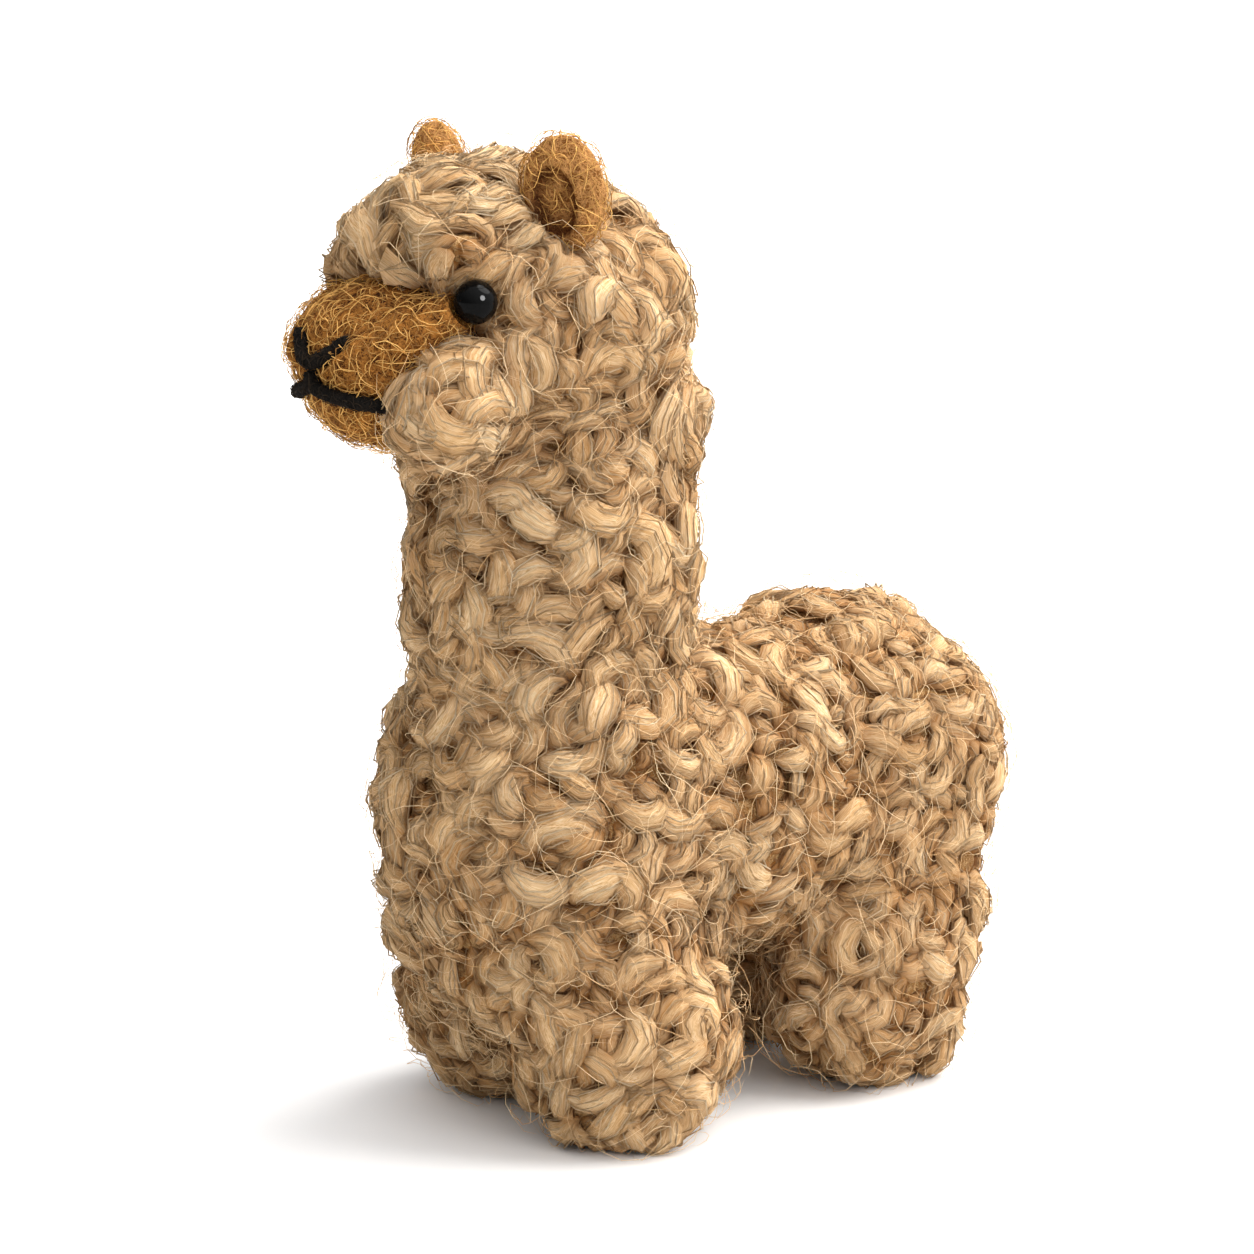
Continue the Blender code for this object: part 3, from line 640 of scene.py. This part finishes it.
def press_down(obj, clear_balls):
    """Locks flatten on what the toy stands on, and part round the eyes."""
    places = points_of(obj.data)
    for centre, radius in clear_balls:
        offset = places - np.array(centre, np.float32)
        distance = np.linalg.norm(offset, axis=1)
        inside = distance < radius
        push = radius / np.maximum(distance[inside], 1e-6)
        places[inside] = np.array(centre, np.float32) + offset[inside] * push[:, None]
    places[:, 2] = np.maximum(places[:, 2], FLOOR_GAP)
    obj.data.vertices.foreach_set("co", places.ravel())
    obj.data.update()


EYE_DIAMETER = 5.0 * MM
bead_places = {}
for side, sign in (("left", 1), ("right", -1)):
    low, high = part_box("eye_" + side)
    outer = Vector((high.x if sign > 0 else low.x, low.y, high.z))
    bead_places[side] = outer + EYE_DIAMETER / 2 * Vector((-sign, 1, -1))
bead = bead_places["left"]
LOCK_TREE, LOCK_INPUTS = curled_locks_tree()
curled_wool = lock_material()
snout_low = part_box("muzzle")[0]
ear_low, ear_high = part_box("ear_left")
CHIN_MARGIN = 1.0 * MM
NECK_LENGTH = 22.0 * MM
TRUNK_FRONT = -2.0 * MM
LEG_TOP = 27.0 * MM
SOLE_BAND = 1.0 * MM
TOPKNOT_RISE = 6.5 * MM
TOPKNOT_REACH = 8.0 * MM
BARE_MARGIN = 0.8 * MM
core_points = points_of(wool_core.data)
along = core_points[:, 1]
up = core_points[:, 2]
head_bottom = snout_low.z - CHIN_MARGIN
head_middle_y = (ear_low.y + ear_high.y) / 2
neck_bottom = head_bottom - NECK_LENGTH
on_head = up > head_bottom
on_neck = (up <= head_bottom) & (up > neck_bottom)
on_trunk = (up <= neck_bottom) & (up > LEG_TOP)
on_leg = (up <= LEG_TOP) & (up > SOLE_BAND)
on_front = along < TRUNK_FRONT
topknot = on_head & (up > bead.z + TOPKNOT_RISE) & (along < head_middle_y + TOPKNOT_REACH)
bare = np.zeros(len(core_points), bool)
# No lock starts near a bead, and those that reach it part round a ball: its offset and radius.
EYE_CLEARINGS = {"left": (Vector((0.7, -0.7, 0.0)) * MM, 3.2 * MM),
                 "right": (Vector((-1.6, 0.2, 0.0)) * MM, 2.8 * MM)}
clear_balls = []
for side in ("left", "right"):
    outward, clear_radius = EYE_CLEARINGS[side]
    place = bead_places[side] + outward
    bare |= np.linalg.norm(core_points - np.array(place), axis=1) < clear_radius + BARE_MARGIN
    clear_balls.append((place, clear_radius))
# Four kinds of lock. A sweep is how far a curl turns, and a height is how far its ends stand
# off the core; a negative one sinks them in.
RANDOM_COMB = {"Comb": (0.0, 0.0, 0.0), "Comb Spread": 1.0, "Wave Share": 0.12,
               "Wave Length": 8.0 * MM, "Wave Height": 1.0 * MM}
BIG_CURLS = {"Spacing": 2.75 * MM, "Curl Radius": 3.4 * MM, "Size Spread": 0.35,
             "Least Sweep": math.radians(115), "Most Sweep": math.radians(225),
             "Wind In": 0.6, "Least Height": -1.0 * MM, "Most Height": 0.5 * MM,
             "Hump": 0.9 * MM, "Path Points": 9, "Lock Thickness": 3.8 * MM,
             "Fibre Count": 9, "Fibre Points": 6, "Fibre Thickness": 0.22 * MM,
             "Wander": 2.8 * MM, **RANDOM_COMB}
SMALL_CURLS = {**BIG_CURLS, "Spacing": 2.5 * MM, "Curl Radius": 2.8 * MM,
               "Lock Thickness": 3.2 * MM, "Most Height": 0.4 * MM, "Hump": 0.7 * MM,
               "Path Points": 8, "Fibre Count": 6, "Fibre Points": 5, "Wander": 2.4 * MM}
SWIRLS = {**BIG_CURLS, "Curl Radius": 3.5 * MM, "Least Sweep": math.radians(150),
          "Most Sweep": math.radians(250), "Wind In": 0.7, "Lock Thickness": 3.9 * MM,
          "Path Points": 11, "Fibre Points": 7, "Fibre Count": 8}
FRINGE = {**BIG_CURLS, "Comb": (0.0, -1.0, -0.25), "Comb Spread": 0.9, "Wave Share": 0.6,
          "Wave Length": 9.0 * MM, "Wave Height": 1.3 * MM, "Spacing": 2.3 * MM,
          "Lock Thickness": 2.9 * MM, "Least Height": -0.4 * MM,
          "Wander": 3.0 * MM}
COAT = [
    ("topknot_locks", topknot & ~bare, FRINGE, 11),
    ("cheek_locks", on_head & ~topknot & ~bare, SWIRLS, 23),
    ("neck_locks", on_neck, BIG_CURLS, 37),
    ("chest_locks", on_trunk & on_front, BIG_CURLS, 41),
    ("back_locks", on_trunk & ~on_front, SMALL_CURLS, 53),
    ("front_leg_locks", on_leg & on_front, SMALL_CURLS, 67),
    ("hind_leg_locks", on_leg & ~on_front, SMALL_CURLS, 79),
]
for name, region, sizes, seed in COAT:
    locks = grow(name, wool_core, region, LOCK_TREE, LOCK_INPUTS, {**sizes, "Seed": seed},
                 curled_wool)
    press_down(locks, clear_balls)
    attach(locks, "root")


# Snout.
# A cap of orange-brown felt needled on to the face, with a patch that runs back to each eye. Its
# short fibres are tangled and stand off the felt as loops.
SNOUT_DARK = (0.06, 0.018, 0.003)
SNOUT_LIGHT = (0.56, 0.23, 0.045)
SNOUT_DEPTH = 0.3 * MM
LOOP_DARK = (0.20, 0.07, 0.012)
LOOP_LIGHT = (0.99, 0.57, 0.17)
FELT_VOXEL = 0.45 * MM
SNOUT_SOFTENING = 3
FELT_FIBRE_WIDTH = 0.12 * MM
FELT_RELIEF = 0.25 * MM
PATCH_REACH = 2.5 * MM


def felt_loops_tree():
    """Short single fibres, curled at random, that lie on felt and stand a little off it."""
    maker = TreeMaker("felt loops", [("Surface", "Geometry"), *PATH_SIZES,
                                     ("Fibre Thickness", "Float"), ("Material", "Material")])
    math_of = maker.math
    paths = laid_paths(maker)
    share = maker.read("share")
    taper = math_of('POWER', math_of('SINE', math_of('MULTIPLY', share, math.pi)), 0.35)
    taper = math_of('MAXIMUM', taper, 0.3)
    loops = swept_tube(maker, paths, math_of('MULTIPLY', maker.given("Fibre Thickness"), taper),
                       3, maker.read("shade"))
    return maker.finish_wool(loops)


def loop_material(name, dark, light):
    """Single fibres, each in its own tone, with flecks along it."""
    material, tree, shader = new_material(name)
    flecks = add_node(tree, "ShaderNodeTexNoise",
                      {"W": attribute_of(tree, "share"), "Scale": 6.0, "Detail": 2.0},
                      noise_dimensions='1D').outputs["Fac"]
    tone = math_node(tree, 'MULTIPLY_ADD', flecks, 0.5, attribute_of(tree, "shade"))
    colour = mixed(tree, remapped(tree, tone, 0.15, 1.15), dark, light)
    dress_shader(tree, shader, colour, remapped(tree, flecks, 0.0, 1.0, 0.85, 0.55), 0.08)
    return material


LOOP_TREE, LOOP_INPUTS = felt_loops_tree()
FELT_LOOPS = {"Spacing": 0.72 * MM, "Curl Radius": 2.1 * MM, "Size Spread": 0.6,
              "Least Sweep": math.radians(40), "Most Sweep": math.radians(130),
              "Wind In": 0.6, "Wave Share": 0.25, "Wave Length": 3.8 * MM,
              "Wave Height": 0.5 * MM, "Comb": (0.0, 0.0, 0.0), "Comb Spread": 1.0,
              "Least Height": -0.1 * MM, "Most Height": 0.5 * MM, "Hump": 0.4 * MM,
              "Path Points": 6, "Fibre Thickness": 0.12 * MM}
snout_felt = felt_material("snout_felt", SNOUT_DARK, SNOUT_LIGHT, FELT_FIBRE_WIDTH,
                           FELT_RELIEF)
brown_loops = loop_material("brown_loops", LOOP_DARK, LOOP_LIGHT)
snout = felted_copy("muzzle", "snout", FELT_VOXEL, SNOUT_SOFTENING, SNOUT_DEPTH)
snout.data.materials.append(snout_felt)
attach(snout, "root")
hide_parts("muzzle")
snout_points = points_of(snout.data)
showing = snout_points[:, 1] < bead.y + PATCH_REACH
snout_loops = grow("snout_loops", snout, showing, LOOP_TREE, LOOP_INPUTS,
                   {**FELT_LOOPS, "Seed": 5}, brown_loops)
press_down(snout_loops, clear_balls)
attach(snout_loops, "root")


# Ears.
# Two lobes of the same brown felt, cupped forward and outward, each seated in the wool at its
# root. Fewer loops grow inside the cup, and painted shade darkens the felt there.
EAR_DARK = (0.20, 0.075, 0.016)
EAR_LIGHT = (0.72, 0.36, 0.12)
EAR_SHADE = (0.22, 0.14, 0.08)
EAR_SOFTENING = 4
EAR_DEPTH = 0.1 * MM
HOLLOW_STEEPNESS = 1.6
HOLLOW_START = 0.9
HOLLOW_LOOPS_LEFT_OUT = 0.85


def ear_material():
    """Brown felt with painted shade: darker where the attribute hollow says that it lies in the
    cup.
    """
    material = felt_material("ear_felt", EAR_DARK, EAR_LIGHT, FELT_FIBRE_WIDTH, FELT_RELIEF)
    tree = material.node_tree
    base_colour = tree.nodes["Principled BSDF"].inputs["Base Color"]
    shaded = mixed(tree, attribute_of(tree, "hollow"), base_colour.links[0].from_socket,
                   EAR_SHADE, blend_type='MULTIPLY')
    tree.links.new(shaded, base_colour)
    return material


def mark_hollow(obj):
    """Marks how far each point of an ear faces into its own cup, for the painted shade there, and
    returns that.
    """
    places = points_of(obj.data)
    facings = np.zeros(len(places) * 3, np.float32)
    obj.data.vertices.foreach_get("normal", facings)
    inward = places.mean(axis=0) - places
    inward /= np.linalg.norm(inward, axis=1)[:, None]
    facing_in = (facings.reshape(-1, 3) * inward).sum(axis=1)
    depths = np.clip(facing_in * HOLLOW_STEEPNESS + HOLLOW_START, 0.0, 1.0)
    hollow = obj.data.attributes.new("hollow", 'FLOAT', 'POINT')
    hollow.data.foreach_set("value", depths)
    return depths


ear_felt = ear_material()
for side, seed in (("left", 3), ("right", 9)):
    ear = felted_copy("ear_" + side, "ear_felt_" + side, FELT_VOXEL, EAR_SOFTENING, EAR_DEPTH)
    depths = mark_hollow(ear)
    ear.data.materials.append(ear_felt)
    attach(ear, "root")
    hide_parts("ear_" + side)
    loops = grow("ear_loops_" + side, ear, 1.0 - HOLLOW_LOOPS_LEFT_OUT * depths, LOOP_TREE,
                 LOOP_INPUTS, {**FELT_LOOPS, "Seed": seed}, brown_loops)
    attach(loops, "root")


# Bead eyes.
# Glossy black plastic beads, moulded in one with a post that is glued into the wool.
BEAD_BLACK = (0.003, 0.003, 0.003)
POST_DIAMETER = 1.5 * MM


def bead_material():
    material, tree, shader = new_material("black_bead_gloss")
    place = add_node(tree, "ShaderNodeTexCoord").outputs["Object"]
    specks = add_node(tree, "ShaderNodeTexNoise", {"Vector": place, "Scale": 1 / (1.2 * MM),
                                                   "Detail": 3.0})
    roughness = remapped(tree, specks.outputs["Fac"], 0.0, 1.0, 0.03, 0.09)
    tree.links.new(roughness, shader.inputs["Roughness"])
    shader.inputs["Base Color"].default_value = (*BEAD_BLACK, 1)
    shader.inputs["IOR"].default_value = 1.5
    shader.inputs["Specular IOR Level"].default_value = 0.07
    return material


def bead_mesh(centre, post_end):
    """A ball and its post, as one closed skin each."""
    bm = bmesh.new()
    bmesh.ops.create_uvsphere(bm, u_segments=32, v_segments=20, radius=EYE_DIAMETER / 2)
    bmesh.ops.translate(bm, verts=bm.verts, vec=centre)
    reach = post_end - centre
    turn = reach.to_track_quat('Z', 'Y').to_matrix().to_4x4()
    bmesh.ops.create_cone(bm, cap_ends=True, segments=16, radius1=POST_DIAMETER / 2,
                          radius2=POST_DIAMETER / 2, depth=reach.length,
                          matrix=Matrix.Translation((centre + post_end) / 2) @ turn)
    mesh = bpy.data.meshes.new("bead")
    bm.to_mesh(mesh)
    bm.free()
    mesh.shade_smooth()
    return mesh


bead_gloss = bead_material()
for side, sign in (("left", 1), ("right", -1)):
    centre = bead_places[side]
    low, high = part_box("eye_" + side)
    inner_x = low.x if sign > 0 else high.x
    inward = Vector((inner_x, high.y, low.z)) - centre
    inward -= POST_DIAMETER / 4 * Vector((math.copysign(1, inward.x), 1, -1))
    bead_copy = new_object("bead_" + side, bead_mesh(centre, centre + inward))
    bead_copy.data.materials.append(bead_gloss)
    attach(bead_copy, "root")
    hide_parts("eye_" + side)


# Nose and mouth.
# Two strands of black wool, pressed into the snout with the needle.
BLACK_WOOL_DARK = (0.004, 0.0035, 0.003)
BLACK_WOOL_LIGHT = (0.014, 0.010, 0.007)
BLACK_LOOP_LIGHT = (0.035, 0.022, 0.012)
STRAND_VOXEL = 0.3 * MM
STRAND_SOFTENING = 2
STRAND_PLUMPNESS = 0.1 * MM
STRAND_RELIEF = 0.2 * MM
black_felt = felt_material("black_felt", BLACK_WOOL_DARK, BLACK_WOOL_LIGHT, FELT_FIBRE_WIDTH,
                           STRAND_RELIEF)
black_loops = loop_material("black_loops", BLACK_WOOL_DARK, BLACK_LOOP_LIGHT)
for node, seed in (("nose_strand", 4), ("mouth_strand", 8)):
    strand = felted_copy(node, node + "_wool", STRAND_VOXEL, STRAND_SOFTENING,
                         -STRAND_PLUMPNESS)
    strand.data.materials.append(black_felt)
    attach(strand, "root")
    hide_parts(node)
    loops = grow(node + "_loops", strand, np.ones(len(strand.data.vertices)), LOOP_TREE,
                 LOOP_INPUTS, {**FELT_LOOPS, "Seed": seed, "Curl Radius": 1.2 * MM,
                               "Spacing": 0.5 * MM, "Most Height": 0.1 * MM,
                               "Hump": 0.12 * MM}, black_loops)
    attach(loops, "root")


# Stray fibres.
# Fine single hairs that the needle has pulled loose. They cross the locks and stand off them as
# a short halo.
HAIR_SAND = (0.68, 0.38, 0.15)
HAIR_PALE = (0.97, 0.73, 0.44)
HAIRLESS_SOLE = 1.5 * MM
LONG_HAIRS = {**FELT_LOOPS, "Seed": 17, "Spacing": 1.95 * MM, "Curl Radius": 2.6 * MM,
              "Least Sweep": math.radians(60), "Most Sweep": math.radians(190),
              "Wave Length": 8.0 * MM, "Wave Height": 1.2 * MM, "Least Height": 0.9 * MM,
              "Most Height": 2.8 * MM, "Hump": 1.0 * MM, "Fibre Thickness": 0.08 * MM}
pale_hair = loop_material("pale_hair", HAIR_SAND, HAIR_PALE)
hairy = (up > HAIRLESS_SOLE) & ~bare
stray_hairs = grow("stray_hairs", wool_core, hairy, LOOP_TREE, LOOP_INPUTS, LONG_HAIRS,
                   pale_hair)
press_down(stray_hairs, clear_balls)
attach(stray_hairs, "root")


# Floor, light and camera.
# A plain white table. The key light is soft and comes from above, right of and a little behind
# the toy; the room is dimmer low down and on the left. The catch light shows as a spark in the
# glossy beads. The table throws back less light on the wool than the camera sees in it.
CAMERA_AZIMUTH = math.radians(53.0)
CAMERA_ELEVATION = math.radians(11.5)
CAMERA_DISTANCE = 0.5
CAMERA_LENS = 117.7
CAMERA_TARGET = Vector((-4.1, -2.5, 58.0)) * MM
SENSOR_WIDTH = 36.0
FLOOR_RADIUS = 8.0
FLOOR_WHITE = 0.93
FLOOR_BOUNCE = 0.62
SKY_DIMMEST = 0.15
SKY_BRIGHTEST = 1.7
SKY_SIDE_SHARE = 0.8
SKY_HEADINGS = (-0.4, 1.1)
KEY_ENERGY = 3.5
KEY_COLOUR = (1.0, 0.985, 0.96)
KEY_ANGLE = math.radians(50)
KEY_OFFSET = {"right": 0.6, "back": 0.15, "up": 0.95}
CATCH_ENERGY = 10.0
CATCH_SIZE = 0.26
CATCH_OFFSET = {"right": 0.34, "back": -0.41, "up": 0.29}

bm = bmesh.new()
bmesh.ops.create_circle(bm, cap_ends=True, segments=96, radius=FLOOR_RADIUS)
floor_mesh = bpy.data.meshes.new("white_table")
bm.to_mesh(floor_mesh)
bm.free()
floor = new_object("white_table", floor_mesh)
floor_material, floor_tree, floor_shader = new_material("white_paper")
seen = add_node(floor_tree, "ShaderNodeLightPath").outputs["Is Camera Ray"]
floor_tone = mixed(floor_tree, seen, [FLOOR_BOUNCE] * 3, [FLOOR_WHITE] * 3)
floor_tree.links.new(floor_tone, floor_shader.inputs["Base Color"])
floor_shader.inputs["Roughness"].default_value = 0.9
floor_mesh.materials.append(floor_material)

world = bpy.data.worlds.new("white_room")
world.use_nodes = True
bpy.context.scene.world = world
world_tree = world.node_tree
seen = add_node(world_tree, "ShaderNodeLightPath").outputs["Is Camera Ray"]
heading = add_node(world_tree, "ShaderNodeTexCoord").outputs["Generated"]
IMAGE_RIGHT = Vector((math.cos(CAMERA_AZIMUTH), math.sin(CAMERA_AZIMUTH), 0))
rightward = add_node(world_tree, "ShaderNodeVectorMath",
                     {"Vector": heading, "Vector_001": IMAGE_RIGHT}, operation='DOT_PRODUCT')
sideways = math_node(world_tree, 'MULTIPLY', rightward.outputs["Value"], SKY_SIDE_SHARE)
upward = add_node(world_tree, "ShaderNodeSeparateXYZ", {"Vector": heading}).outputs["Z"]
sky = remapped(world_tree, math_node(world_tree, 'ADD', upward, sideways), *SKY_HEADINGS,
               SKY_DIMMEST, SKY_BRIGHTEST)
strength = add_node(world_tree, "ShaderNodeMix", {"Factor_Float": seen, "A_Float": sky,
                                                  "B_Float": 1.0}, data_type='FLOAT')
background = world_tree.nodes["Background"]
background.inputs["Color"].default_value = (1, 1, 1, 1)
world_tree.links.new(output_of(strength, "Result_Float"), background.inputs["Strength"])


towards_camera = Vector((math.sin(CAMERA_AZIMUTH), -math.cos(CAMERA_AZIMUTH), 0))


def aimed_lamp(light, offset):
    """A lamp at an offset, as the camera sees it, from what the camera looks at."""
    lamp = bpy.data.objects.new(light.name, light)
    bpy.context.scene.collection.objects.link(lamp)
    lamp.location = (CAMERA_TARGET + offset["right"] * IMAGE_RIGHT
                     - offset["back"] * towards_camera + Vector((0, 0, offset["up"])))
    lamp.rotation_euler = (CAMERA_TARGET - lamp.location).to_track_quat('-Z', 'Y').to_euler()
    return lamp


key_light = bpy.data.lights.new("key", 'SUN')
key_light.energy = KEY_ENERGY
key_light.angle = KEY_ANGLE
key_light.color = KEY_COLOUR
aimed_lamp(key_light, KEY_OFFSET)
catch_light = bpy.data.lights.new("catch", 'AREA')
catch_light.shape = 'DISK'
catch_light.size = CATCH_SIZE
catch_light.energy = CATCH_ENERGY
catch_lamp = aimed_lamp(catch_light, CATCH_OFFSET)
catch_lamp.visible_diffuse = False

camera_data = bpy.data.cameras.new("camera")
camera_data.lens = CAMERA_LENS
camera_data.sensor_width = SENSOR_WIDTH
camera = bpy.data.objects.new("camera", camera_data)
bpy.context.scene.collection.objects.link(camera)
back = Vector((towards_camera.x * math.cos(CAMERA_ELEVATION),
               towards_camera.y * math.cos(CAMERA_ELEVATION), math.sin(CAMERA_ELEVATION)))
camera.location = CAMERA_TARGET + CAMERA_DISTANCE * back
camera.rotation_euler = back.to_track_quat('Z', 'Y').to_euler()
bpy.context.scene.camera = camera
bpy.context.scene.view_settings.view_transform = 'Standard'
